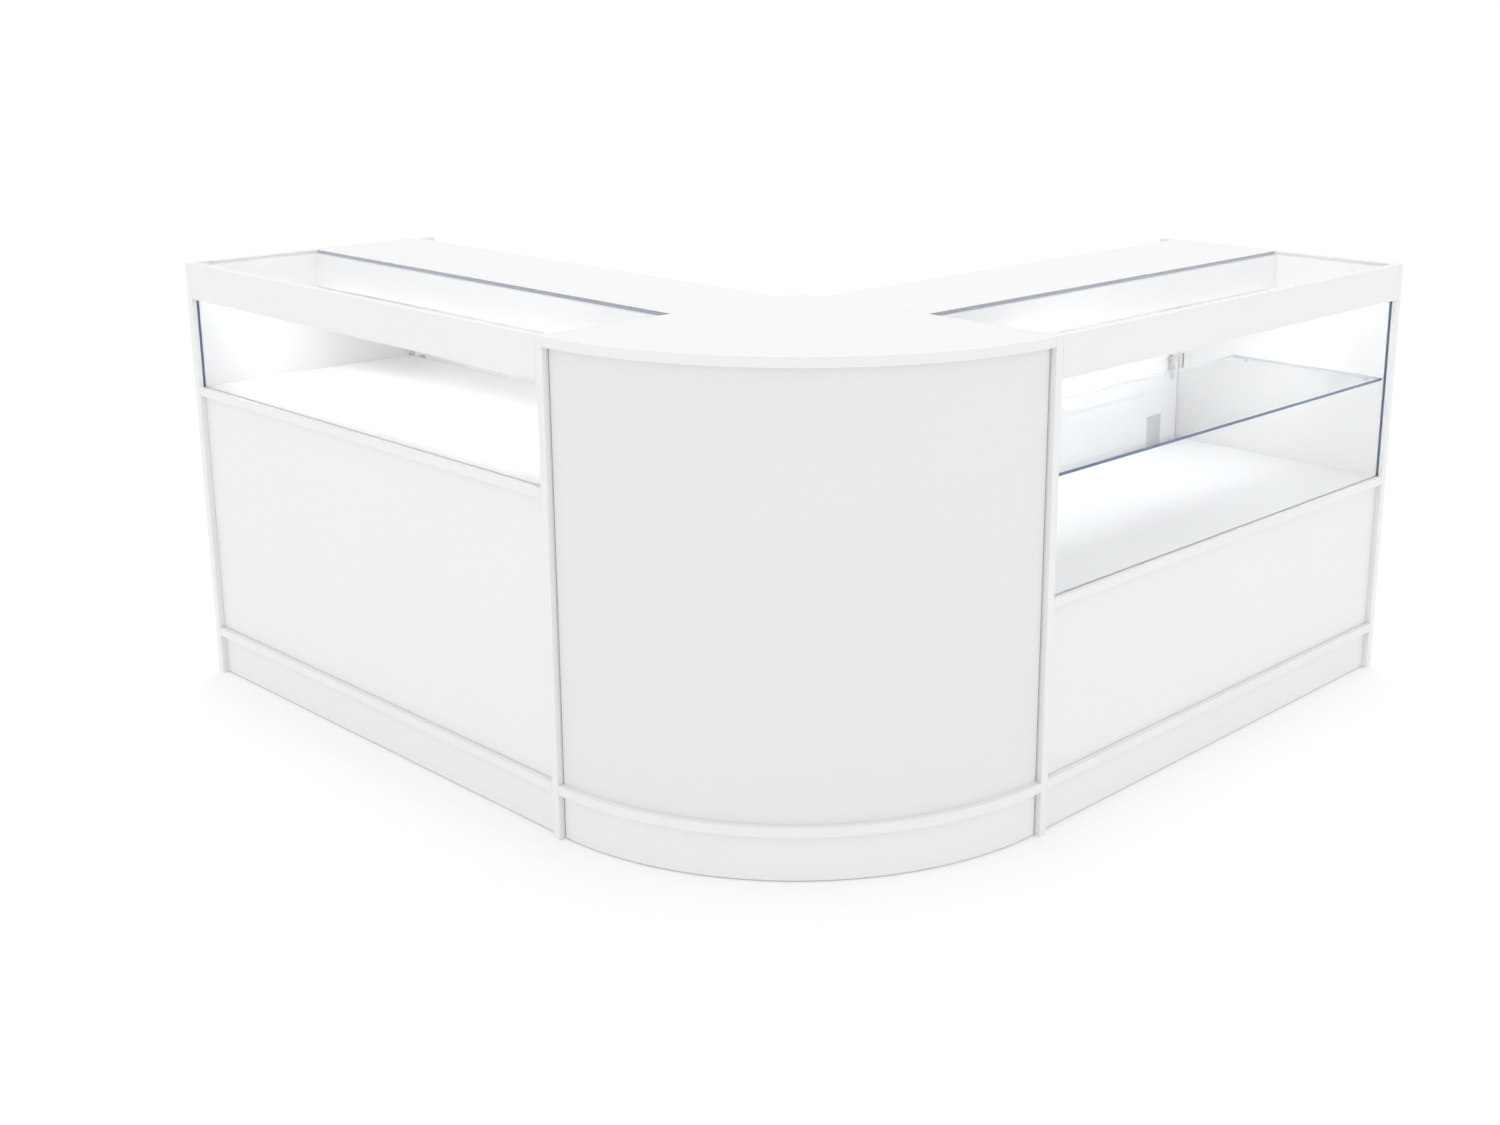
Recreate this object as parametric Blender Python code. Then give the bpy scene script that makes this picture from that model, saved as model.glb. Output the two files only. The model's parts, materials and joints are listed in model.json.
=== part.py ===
"""L-shaped retail checkout counter: a quadrant corner unit between two glazed display wings.

Metres, +Z up. The origin is on the floor at the centre of the footprint's square.
The customers' side faces -X and -Y, and the staff stand at +X +Y.
Each wing is laid out in its own coordinates: length runs from the corner unit to the far end,
depth runs from the customers' face to the staff's side, and height runs up from the floor.
"""

import math

import bmesh
import bpy

# Driving dimensions
HEIGHT = 0.900
DEPTH = 0.600
WING_LENGTH = 1.200
BOARD = 0.018
GAP = 0.0003

# Heights of the boards
FLOOR_CLEARANCE = 0.002
PLINTH_HEIGHT = 0.086
FASCIA_HEIGHT = 0.075
DECK_TOP = {"left": 0.638, "right": 0.440}
STORAGE_SHELF_BOTTOM = 0.360
CORNER_SHELF_BOTTOM = 0.500

# Depths, from the customers' face
FRONT_RECESS = 0.012
DECK_DEPTH = 0.514
STORAGE_SHELF_DEPTH = 0.500
TOP_GLASS_DEPTH = 0.300
WORKTOP_REAR = 0.565
REAR_PLINTH_FRONT = 0.535
RAIL_LEDGE = 0.010
RAIL_HEIGHT = 0.060

# Glass
GLASS = 0.006
TOP_GLASS_SINK = 0.0015
FRONT_GLASS_RECESS = 0.0095
GROOVE_DEPTH = 0.004
GLASS_SHELF_BOTTOM = 0.650
GLASS_SHELF_SPAN = (0.018, 0.385)
SHELF_END_GAP = 0.001
PIN_DEPTHS = (0.055, 0.350)
PIN_RADIUS = 0.0025
PIN_REACH = 0.008

# Light under the front edge of the top glass
LIGHT_WIDTH = 0.016
LIGHT_HEIGHT = 0.014
LIGHT_WALL = 0.0015
DIFFUSER = 0.003

# Sliding doors, in a twin track
DOOR = 0.012
FRONT_DOOR_FACE = 0.530
DOOR_PITCH = 0.016
DOOR_SIDE_CLEARANCE = 0.002
DOOR_OVERLAP = 0.032
DOOR_SPAN = (0.108, 0.872)
TRACK_BASE = 0.0025
TRACK_RIB = 0.0024
TRACK_SIDE = 0.0012
LOWER_TRACK_HEIGHT = 0.010
UPPER_TRACK_HEIGHT = 0.018

# Flush finger pulls
PULL_WIDTH = 0.056
PULL_HEIGHT = 0.116
PULL_FROM_EDGE = 0.092
PULL_CENTRE_HEIGHT = 0.448
PULL_LIP = 0.003
PULL_LIP_THICKNESS = 0.0012
PULL_WALL = 0.0015

# Cam lock on the outer door
LOCK_HEIGHT = 0.633
LOCK_FROM_GABLE = 0.040
LOCK_HOLE = 0.0085
LOCK_SLEEVE = 0.0082
LOCK_FLANGE = 0.011
LOCK_BORE = 0.0058
LOCK_BARREL = 0.0055
CAM_REACH = 0.047
CAM_WIDTH = 0.012
CAM_SPAN = (0.5180, 0.5205)
NUT_TO_CAM = 0.001
FLANGE_THICKNESS = 0.0015
BARREL_TIP = 0.0015
KEY_SLOT = (0.0014, 0.0070, 0.0030)
MORTISE_CLEARANCE = 0.0020

# Corner unit
CORNER_RADIUS = 0.600
PANEL_RADIUS = 0.588
PANEL = 0.006
CURVED_PLINTH = 0.012
PANEL_END_GAP = 0.003
SIDE_PANEL_LENGTH = 0.575
CORNER_SHELF_RADIUS = 0.5815
ARC_STEPS = 60

# Bolts that tie the corner unit to the wings
BOLT_RADIUS = 0.003
BOLT_HOLE = 0.0035
BOLT_HEAD = 0.0075
BOLT_HEAD_THICKNESS = 0.003
BOLT_PLACE = (0.300, 0.300)

ROUND_STEPS = 32

HALF = (DEPTH + WING_LENGTH) / 2
CORNER_CENTRE = DEPTH - HALF
INSIDE = (BOARD + GAP, WING_LENGTH - BOARD - GAP)
TOP_UNDERSIDE = HEIGHT - BOARD
TOP_GLASS_BOTTOM = HEIGHT - TOP_GLASS_SINK - GLASS
BASE_TOP = PLINTH_HEIGHT + BOARD
FASCIA_BOTTOM = HEIGHT - FASCIA_HEIGHT
FAR_FACE = WING_LENGTH - BOARD


def clear_scene():
    for obj in list(bpy.data.objects):
        bpy.data.objects.remove(obj, do_unlink=True)


def make_material(name, colour, roughness, metallic=0.0, alpha=1.0):
    material = bpy.data.materials.new(name)
    material.use_nodes = True
    shader = material.node_tree.nodes["Principled BSDF"]
    shader.inputs["Base Color"].default_value = (*colour, 1.0)
    shader.inputs["Roughness"].default_value = roughness
    shader.inputs["Metallic"].default_value = metallic
    shader.inputs["Alpha"].default_value = alpha
    material.diffuse_color = (*colour, alpha)
    return material


MATERIALS = {
    "white_board": ((0.86, 0.86, 0.86), 0.38, 0.0, 1.0),
    "clear_glass": ((0.80, 0.88, 0.95), 0.03, 0.0, 0.3),
    "aluminium": ((0.78, 0.79, 0.80), 0.32, 1.0, 1.0),
    "grey_plastic": ((0.42, 0.45, 0.48), 0.45, 0.0, 1.0),
    "chrome": ((0.72, 0.72, 0.73), 0.12, 1.0, 1.0),
    "opal_plastic": ((0.95, 0.97, 1.0), 0.5, 0.0, 1.0),
    "steel": ((0.55, 0.55, 0.56), 0.35, 1.0, 1.0),
}


def material_named(name):
    found = bpy.data.materials.get(name)
    return found or make_material(name, *MATERIALS[name])


class Wing:
    """A display wing's coordinates: (length, depth, height) to the object's own x, y and z."""

    def __init__(self, name):
        self.name = name

    def place(self, length, depth, height):
        along = CORNER_CENTRE + length
        across = depth - HALF
        if self.name == "right":
            return (along, across, height)
        return (across, along, height)


def corner_place(u, v, height):
    """u and v run from the corner unit's rear corner towards the customers, along -X and -Y."""
    return (CORNER_CENTRE - u, CORNER_CENTRE - v, height)


def add_object(name, points, faces, material, origin=(0.0, 0.0, 0.0)):
    """A closed mesh with its faces turned outwards, and its object's origin at the given place."""
    mesh = bpy.data.meshes.new(name)
    shape = bmesh.new()
    corners = [shape.verts.new([p - o for p, o in zip(point, origin)]) for point in points]
    for face in faces:
        shape.faces.new([corners[i] for i in face])
    bmesh.ops.recalc_face_normals(shape, faces=shape.faces)
    shape.to_mesh(mesh)
    shape.free()
    mesh.materials.append(material_named(material))
    obj = bpy.data.objects.new(name, mesh)
    obj.location = origin
    bpy.context.scene.collection.objects.link(obj)
    return obj


def smooth_round(obj):
    obj.data.shade_smooth()
    obj.data.set_sharp_from_angle(angle=math.radians(30))


def prism(name, outline, place, span, material, origin=(0.0, 0.0, 0.0)):
    """An outline of (a, b) points, extruded from span[0] to span[1] by place(a, b, s)."""
    count = len(outline)
    points = [place(a, b, s) for s in span for a, b in outline]
    faces = [tuple(range(count)), tuple(range(count, 2 * count))]
    for i in range(count):
        j = (i + 1) % count
        faces.append((i, j, count + j, count + i))
    return add_object(name, points, faces, material, origin)


def rectangle(a_span, b_span):
    return [
        (a_span[0], b_span[0]),
        (a_span[1], b_span[0]),
        (a_span[1], b_span[1]),
        (a_span[0], b_span[1]),
    ]


def wing_box(wing, name, lengths, depths, heights, material="white_board", origin=(0.0, 0.0, 0.0)):
    return prism(name, rectangle(lengths, depths), wing.place, heights, material, origin)


def wing_strip(wing, name, outline, material):
    """An outline of (depth, height) points, extruded along the wing between its gables."""

    def place(depth, height, length):
        return wing.place(length, depth, height)

    return prism(name, outline, place, INSIDE, material)


def turned(name, profile, place, material, closed_loop=False, origin=(0.0, 0.0, 0.0)):
    """A profile of (radius, position) points turned about an axis; place(a, b, s) has s along it.

    An open profile starts and ends on the axis, at radius 0. A closed loop makes a ring.
    """
    points = []
    rings = []
    for radius, position in profile:
        if radius == 0:
            rings.append([len(points)])
            points.append(place(0.0, 0.0, position))
            continue
        ring = []
        for step in range(ROUND_STEPS):
            turn = 2 * math.pi * step / ROUND_STEPS
            ring.append(len(points))
            points.append(place(radius * math.cos(turn), radius * math.sin(turn), position))
        rings.append(ring)
    pairs = list(zip(rings, rings[1:]))
    if closed_loop:
        pairs.append((rings[-1], rings[0]))
    faces = []
    for first, second in pairs:
        for i in range(ROUND_STEPS):
            j = (i + 1) % ROUND_STEPS
            if len(first) == 1:
                faces.append((first[0], second[i], second[j]))
            elif len(second) == 1:
                faces.append((first[i], first[j], second[0]))
            else:
                faces.append((first[i], first[j], second[j], second[i]))
    obj = add_object(name, points, faces, material, origin)
    smooth_round(obj)
    return obj


def along_length(wing, depth, height):
    """Turns a shape about an axis that runs along the wing."""
    return lambda a, b, s: wing.place(s, depth + a, height + b)


def along_depth(wing, length, height):
    """Turns a shape about an axis that runs through the wing's depth."""
    return lambda a, b, s: wing.place(length + a, s, height + b)


def rod(name, radius, span, place):
    return turned(name, [(0, span[0]), (radius, span[0]), (radius, span[1]), (0, span[1])], place, "steel")


def combine(obj, other, operation):
    """Cuts or joins with a helper object, which stays out of the finished part."""
    other.hide_render = True
    other.display_type = "WIRE"
    modifier = obj.modifiers.new(other.name, "BOOLEAN")
    modifier.operation = operation
    modifier.object = other


def cut(obj, *helpers):
    for helper in helpers:
        combine(obj, helper, "DIFFERENCE")


def join(obj, *helpers):
    for helper in helpers:
        combine(obj, helper, "UNION")


def glass_groove_depths():
    return (FRONT_GLASS_RECESS - GAP, FRONT_GLASS_RECESS + GLASS + GAP)


def deck_underside(wing):
    return DECK_TOP[wing.name] - BOARD


def front_glass_heights(wing):
    return (DECK_TOP[wing.name] - GROOVE_DEPTH + GAP, FASCIA_BOTTOM + GROOVE_DEPTH - GAP)


def groove_helper(wing, name, lengths, heights):
    return wing_box(wing, f"{wing.name}_{name}_groove", lengths, glass_groove_depths(), heights)


def add_gables(wing):
    """The two end boards, full height and depth, with grooves for the front glass."""
    glass_heights = (DECK_TOP[wing.name] - GROOVE_DEPTH, FASCIA_BOTTOM + GROOVE_DEPTH)
    inner = wing_box(wing, f"{wing.name}_inner_gable", (0, BOARD), (0, DEPTH - GAP), (0, HEIGHT))
    outer = wing_box(
        wing, f"{wing.name}_outer_gable", (FAR_FACE, WING_LENGTH), (0, DEPTH), (0, HEIGHT)
    )
    inner_groove = (BOARD - GROOVE_DEPTH, BOARD + GROOVE_DEPTH)
    outer_groove = (FAR_FACE - GROOVE_DEPTH, FAR_FACE + GROOVE_DEPTH)
    cut(inner, groove_helper(wing, "inner_gable", inner_groove, glass_heights))
    cut(outer, groove_helper(wing, "outer_gable", outer_groove, glass_heights))
    bolt_depth, bolt_height = BOLT_PLACE
    bolt_axis = along_length(wing, bolt_depth, bolt_height)
    cut(inner, rod(f"{wing.name}_bolt_hole", BOLT_HOLE, (-BOARD, 2 * BOARD), bolt_axis))
    cut(outer, cam_mortise(wing))
    if wing.name == "right":
        for gable, face, side in ((inner, BOARD, "inner"), (outer, FAR_FACE, "outer")):
            for place_name, depth in zip(("front", "rear"), PIN_DEPTHS):
                axis = along_length(wing, depth, GLASS_SHELF_BOTTOM - PIN_RADIUS - GAP)
                span = (face - PIN_REACH - GAP, face + PIN_REACH + GAP)
                helper = rod(f"{side}_{place_name}_pin_hole", PIN_RADIUS + GAP, span, axis)
                cut(gable, helper)


def cam_mortise(wing):
    """The slot in the outer gable that the lock's cam turns into, sized to the cam's sweep."""
    corner_reach = math.hypot(CAM_REACH, CAM_WIDTH / 2)
    sweep = math.sqrt(corner_reach**2 - LOCK_FROM_GABLE**2)
    reach_in = CAM_REACH - LOCK_FROM_GABLE + MORTISE_CLEARANCE
    return wing_box(
        wing,
        f"{wing.name}_cam_mortise",
        (FAR_FACE - BOARD, FAR_FACE + reach_in),
        (CAM_SPAN[0] - MORTISE_CLEARANCE, CAM_SPAN[1] + MORTISE_CLEARANCE),
        (
            LOCK_HEIGHT - sweep - MORTISE_CLEARANCE,
            LOCK_HEIGHT + CAM_WIDTH / 2 + MORTISE_CLEARANCE,
        ),
    )


def add_carcass(wing):
    """The boards that run between the gables."""
    deck_top = DECK_TOP[wing.name]
    recessed = (FRONT_RECESS, FRONT_RECESS + BOARD)
    side = wing.name
    wing_box(wing, f"{side}_base_board", INSIDE, (0, WORKTOP_REAR), (PLINTH_HEIGHT, BASE_TOP))
    plinth_heights = (FLOOR_CLEARANCE, PLINTH_HEIGHT - GAP)
    wing_box(wing, f"{side}_front_plinth", INSIDE, recessed, plinth_heights)
    rear_plinth = (REAR_PLINTH_FRONT, REAR_PLINTH_FRONT + BOARD)
    wing_box(wing, f"{side}_rear_plinth", INSIDE, rear_plinth, plinth_heights)
    panel_heights = (BASE_TOP + GAP, deck_underside(wing) - GAP)
    wing_box(wing, f"{side}_front_panel", INSIDE, recessed, panel_heights)

    deck = wing_box(
        wing, f"{side}_display_deck", INSIDE, (0, DECK_DEPTH), (deck_underside(wing), deck_top)
    )
    fascia = wing_box(wing, f"{side}_fascia", INSIDE, (0, BOARD), (FASCIA_BOTTOM, HEIGHT))
    past_ends = (0, WING_LENGTH)
    deck_groove = (deck_top - GROOVE_DEPTH, deck_top + GROOVE_DEPTH)
    fascia_groove = (FASCIA_BOTTOM - GROOVE_DEPTH, FASCIA_BOTTOM + GROOVE_DEPTH)
    cut(deck, groove_helper(wing, "deck", past_ends, deck_groove))
    cut(fascia, groove_helper(wing, "fascia", past_ends, fascia_groove))

    worktop_depths = (TOP_GLASS_DEPTH, WORKTOP_REAR)
    wing_box(wing, f"{side}_worktop", INSIDE, worktop_depths, (TOP_UNDERSIDE, HEIGHT))
    add_centre_rail(wing)
    if side == "left":
        wing_box(
            wing,
            "left_storage_shelf",
            INSIDE,
            (FRONT_RECESS + BOARD + GAP, STORAGE_SHELF_DEPTH),
            (STORAGE_SHELF_BOTTOM, STORAGE_SHELF_BOTTOM + BOARD),
        )


def add_centre_rail(wing):
    """A rail under the joint of top glass and worktop, with a tongue that lifts the glass's rear edge."""
    front = TOP_GLASS_DEPTH - RAIL_LEDGE
    tongue_rear = TOP_GLASS_DEPTH - GAP
    rear = front + BOARD
    bottom = TOP_UNDERSIDE - RAIL_HEIGHT
    rail = [
        (front, bottom),
        (rear, bottom),
        (rear, TOP_UNDERSIDE - GAP),
        (tongue_rear, TOP_UNDERSIDE - GAP),
        (tongue_rear, TOP_GLASS_BOTTOM - GAP),
        (front, TOP_GLASS_BOTTOM - GAP),
    ]
    wing_strip(wing, f"{wing.name}_centre_rail", rail, "white_board")


def add_glass(wing):
    side = wing.name
    grooved = (BOARD - GROOVE_DEPTH + GAP, FAR_FACE + GROOVE_DEPTH - GAP)
    front_depths = (FRONT_GLASS_RECESS, FRONT_GLASS_RECESS + GLASS)
    wing_box(
        wing, f"{side}_front_glass", grooved, front_depths, front_glass_heights(wing), "clear_glass"
    )
    top_depths = (BOARD + GAP, TOP_GLASS_DEPTH - GAP)
    top_heights = (TOP_GLASS_BOTTOM, TOP_GLASS_BOTTOM + GLASS)
    wing_box(wing, f"{side}_top_glass", INSIDE, top_depths, top_heights, "clear_glass")
    if side == "right":
        add_glass_shelf(wing)


def add_glass_shelf(wing):
    shelf_lengths = (INSIDE[0] + SHELF_END_GAP, INSIDE[1] - SHELF_END_GAP)
    shelf_heights = (GLASS_SHELF_BOTTOM, GLASS_SHELF_BOTTOM + GLASS)
    wing_box(
        wing, "right_glass_shelf", shelf_lengths, GLASS_SHELF_SPAN, shelf_heights, "clear_glass"
    )
    height = GLASS_SHELF_BOTTOM - PIN_RADIUS - GAP
    for side, face, inwards in (("inner", BOARD, 1), ("outer", FAR_FACE, -1)):
        for place_name, depth in zip(("front", "rear"), PIN_DEPTHS):
            profile = [
                (0, face - inwards * PIN_REACH),
                (PIN_RADIUS, face - inwards * PIN_REACH),
                (PIN_RADIUS, face + inwards * PIN_REACH),
                (0, face + inwards * PIN_REACH),
            ]
            axis = along_length(wing, depth, height)
            turned(f"right_shelf_pin_{side}_{place_name}", profile, axis, "chrome")


def add_light(wing):
    """An aluminium channel that carries the top glass's front edge, with a diffuser in its mouth."""
    front = BOARD + GAP
    top = TOP_GLASS_BOTTOM - GAP
    bottom = top - LIGHT_HEIGHT
    rear = front + LIGHT_WIDTH
    channel = [
        (front, bottom),
        (front + LIGHT_WALL, bottom),
        (front + LIGHT_WALL, top - LIGHT_WALL),
        (rear - LIGHT_WALL, top - LIGHT_WALL),
        (rear - LIGHT_WALL, bottom),
        (rear, bottom),
        (rear, top),
        (front, top),
    ]
    wing_strip(wing, f"{wing.name}_light_channel", channel, "aluminium")
    diffuser = rectangle(
        (front + LIGHT_WALL + GAP, rear - LIGHT_WALL - GAP), (bottom + GAP, bottom + GAP + DIFFUSER)
    )
    wing_strip(wing, f"{wing.name}_light_diffuser", diffuser, "opal_plastic")


def track_outline(base, tip):
    """A twin channel: a base strip and three ribs, which stand from base to tip."""
    base_inner = base + math.copysign(TRACK_BASE, tip - base)
    outline = []
    first = FRONT_DOOR_FACE - TRACK_SIDE - TRACK_RIB
    middle = FRONT_DOOR_FACE + (DOOR + DOOR_PITCH) / 2
    last = FRONT_DOOR_FACE + DOOR_PITCH + DOOR + TRACK_SIDE
    ribs = [
        (first, first + TRACK_RIB),
        (middle - TRACK_RIB / 2, middle + TRACK_RIB / 2),
        (last, last + TRACK_RIB),
    ]
    outline.append((ribs[0][0], base))
    for start, end in ribs:
        if start != ribs[0][0]:
            outline.append((start, base_inner))
        outline.append((start, tip))
        outline.append((end, tip))
        if start != ribs[-1][0]:
            outline.append((end, base_inner))
    outline.append((ribs[-1][1], base))
    return outline


def add_tracks(wing):
    lower = track_outline(BASE_TOP + GAP, BASE_TOP + GAP + LOWER_TRACK_HEIGHT)
    upper = track_outline(TOP_UNDERSIDE - GAP, TOP_UNDERSIDE - GAP - UPPER_TRACK_HEIGHT)
    wing_strip(wing, f"{wing.name}_lower_track", lower, "aluminium")
    wing_strip(wing, f"{wing.name}_upper_track", upper, "aluminium")


def add_pull(wing, name, door, centre, front):
    """A flush cup in a cut-out of the door, open to the staff's side."""
    rear = front + DOOR
    half_width = PULL_WIDTH / 2
    half_height = PULL_HEIGHT / 2

    def sized(part, grow, depths, material="grey_plastic"):
        lengths = (centre - half_width - grow, centre + half_width + grow)
        heights = (
            PULL_CENTRE_HEIGHT - half_height - grow,
            PULL_CENTRE_HEIGHT + half_height + grow,
        )
        return wing_box(wing, f"{name}{part}", lengths, depths, heights, material)

    lip = sized("", PULL_LIP, (rear + GAP, rear + GAP + PULL_LIP_THICKNESS))
    body = sized("_body", -GAP, (front, rear + 2 * GAP))
    recess = sized("_recess", -GAP - PULL_WALL, (front + PULL_WALL, rear + PULL_LIP))
    join(lip, body)
    cut(lip, recess)
    cut(door, sized("_cutout", 0, (front - DOOR, rear + DOOR)))


def add_lock(wing, door):
    """A cam lock on the outer door: a flanged sleeve with its nut, and the barrel with its cam."""
    side = wing.name
    length = FAR_FACE - LOCK_FROM_GABLE
    axis = along_depth(wing, length, LOCK_HEIGHT)
    front = FRONT_DOOR_FACE
    rear = front + DOOR
    hole = rod(f"{side}_lock_hole", LOCK_HOLE, (front - DOOR, rear + DOOR), axis)
    cut(door, hole)

    nut_front = CAM_SPAN[1] + NUT_TO_CAM
    flange_rear = rear + GAP + FLANGE_THICKNESS
    sleeve = [
        (LOCK_BORE, nut_front),
        (LOCK_FLANGE, nut_front),
        (LOCK_FLANGE, front - GAP),
        (LOCK_SLEEVE, front - GAP),
        (LOCK_SLEEVE, rear + GAP),
        (LOCK_FLANGE, rear + GAP),
        (LOCK_FLANGE, flange_rear),
        (LOCK_BORE, flange_rear),
    ]
    turned(f"{side}_lock_body", sleeve, axis, "chrome", closed_loop=True)

    origin = wing.place(length, rear, LOCK_HEIGHT)
    barrel_profile = [
        (0, CAM_SPAN[0] - BARREL_TIP),
        (LOCK_BARREL, CAM_SPAN[0] - BARREL_TIP),
        (LOCK_BARREL, CAM_SPAN[0]),
        (LOCK_SLEEVE, CAM_SPAN[0]),
        (LOCK_SLEEVE, CAM_SPAN[1]),
        (LOCK_BARREL, CAM_SPAN[1]),
        (LOCK_BARREL, flange_rear),
        (0, flange_rear),
    ]
    barrel = turned(f"{side}_lock_barrel", barrel_profile, axis, "chrome", origin=origin)
    cam = wing_box(
        wing,
        f"{side}_lock_cam_arm",
        (length - CAM_WIDTH / 2, length + CAM_WIDTH / 2),
        CAM_SPAN,
        (LOCK_HEIGHT - CAM_REACH, LOCK_HEIGHT),
    )
    slot_width, slot_height, slot_depth = KEY_SLOT
    key_slot = wing_box(
        wing,
        f"{side}_key_slot",
        (length - slot_width / 2, length + slot_width / 2),
        (flange_rear - slot_depth, flange_rear + slot_depth),
        (LOCK_HEIGHT - slot_height / 2, LOCK_HEIGHT + slot_height / 2),
    )
    join(barrel, cam)
    cut(barrel, key_slot)


def add_doors(wing):
    """Two sliding doors; the outer one runs in the front track and carries the lock."""
    side = wing.name
    low = BOARD + DOOR_SIDE_CLEARANCE
    high = FAR_FACE - DOOR_SIDE_CLEARANCE
    width = (high - low + DOOR_OVERLAP) / 2
    rear_face = FRONT_DOOR_FACE + DOOR_PITCH
    outer_place = wing.place(high - width / 2, FRONT_DOOR_FACE, DOOR_SPAN[0])
    inner_place = wing.place(low + width / 2, rear_face, DOOR_SPAN[0])
    outer = wing_box(
        wing,
        f"{side}_outer_door",
        (high - width, high),
        (FRONT_DOOR_FACE, FRONT_DOOR_FACE + DOOR),
        DOOR_SPAN,
        origin=outer_place,
    )
    inner = wing_box(
        wing,
        f"{side}_inner_door",
        (low, low + width),
        (rear_face, rear_face + DOOR),
        DOOR_SPAN,
        origin=inner_place,
    )
    add_pull(wing, f"{side}_outer_door_pull", outer, FAR_FACE - PULL_FROM_EDGE, FRONT_DOOR_FACE)
    add_pull(wing, f"{side}_inner_door_pull", inner, BOARD + PULL_FROM_EDGE, rear_face)
    add_lock(wing, outer)


def add_connector_bolt(wing):
    """Ties the wing's inner gable to the corner unit's side panel."""
    depth, height = BOLT_PLACE
    near = -(BOARD + GAP) - GAP
    far = BOARD + GAP
    profile = [
        (0, near - BOLT_HEAD_THICKNESS),
        (BOLT_HEAD, near - BOLT_HEAD_THICKNESS),
        (BOLT_HEAD, near),
        (BOLT_RADIUS, near),
        (BOLT_RADIUS, far),
        (BOLT_HEAD, far),
        (BOLT_HEAD, far + BOLT_HEAD_THICKNESS),
        (0, far + BOLT_HEAD_THICKNESS),
    ]
    turned(f"{wing.name}_connector_bolt", profile, along_length(wing, depth, height), "steel")


def arc(radius, end_gap):
    """Points of a quarter circle that stops short of both straight sides by end_gap."""
    start = math.asin(end_gap / radius)
    sweep = math.pi / 2 - 2 * start
    turns = [start + sweep * step / ARC_STEPS for step in range(ARC_STEPS + 1)]
    return [(radius * math.cos(turn), radius * math.sin(turn)) for turn in turns]


def curved_wall(name, radius, thickness, heights):
    outline = arc(radius, PANEL_END_GAP) + arc(radius - thickness, PANEL_END_GAP)[::-1]
    wall = prism(name, outline, corner_place, heights, "white_board")
    smooth_round(wall)


def add_corner_unit(wings):
    top = [(GAP, GAP)] + arc(CORNER_RADIUS, GAP)
    smooth_round(prism("corner_top", top, corner_place, (TOP_UNDERSIDE, HEIGHT), "white_board"))

    inset = BOARD + 2 * GAP
    ear = SIDE_PANEL_LENGTH + 2 * GAP
    base = (
        [(inset, inset), (ear, inset), (ear, GAP)]
        + arc(CORNER_RADIUS, GAP)
        + [(GAP, ear), (inset, ear)]
    )
    base_heights = (PLINTH_HEIGHT, BASE_TOP)
    smooth_round(prism("corner_base_board", base, corner_place, base_heights, "white_board"))

    shelf = [(inset, inset)] + arc(CORNER_SHELF_RADIUS, inset)
    shelf_heights = (CORNER_SHELF_BOTTOM, CORNER_SHELF_BOTTOM + BOARD)
    smooth_round(prism("corner_former", shelf, corner_place, shelf_heights, "white_board"))

    curved_wall("corner_curved_panel", PANEL_RADIUS, PANEL, (BASE_TOP + GAP, TOP_UNDERSIDE - GAP))
    plinth_heights = (FLOOR_CLEARANCE, PLINTH_HEIGHT - GAP)
    curved_wall("corner_curved_plinth", PANEL_RADIUS, CURVED_PLINTH, plinth_heights)

    side_heights = (0, TOP_UNDERSIDE - GAP)
    right = rectangle((GAP, GAP + BOARD), (GAP, SIDE_PANEL_LENGTH))
    left = rectangle((inset, SIDE_PANEL_LENGTH), (GAP, GAP + BOARD))
    panels = {
        "right": prism("corner_right_side", right, corner_place, side_heights, "white_board"),
        "left": prism("corner_left_side", left, corner_place, side_heights, "white_board"),
    }
    for wing in wings:
        axis = along_length(wing, *BOLT_PLACE)
        hole = rod(f"{wing.name}_side_bolt_hole", BOLT_HOLE, (-2 * BOARD, BOARD), axis)
        cut(panels[wing.name], hole)


def main():
    clear_scene()
    wings = [Wing("left"), Wing("right")]
    for wing in wings:
        add_gables(wing)
        add_carcass(wing)
        add_glass(wing)
        add_light(wing)
        add_tracks(wing)
        add_doors(wing)
        add_connector_bolt(wing)
    add_corner_unit(wings)


main()
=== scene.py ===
"""Looks of an L-shaped checkout counter: rounded boards, glass, fittings, materials, light and camera.

Metres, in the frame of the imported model, +Z up. The customers stand towards -X and -Y.
Pieces of a wing are built in the wing's own coordinates: length from the corner unit to the far end,
depth from the customers' face to the staff's side, and height from the floor.
"""

import json
import math

import bmesh
import bpy
from mathutils import Matrix, Vector

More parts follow.
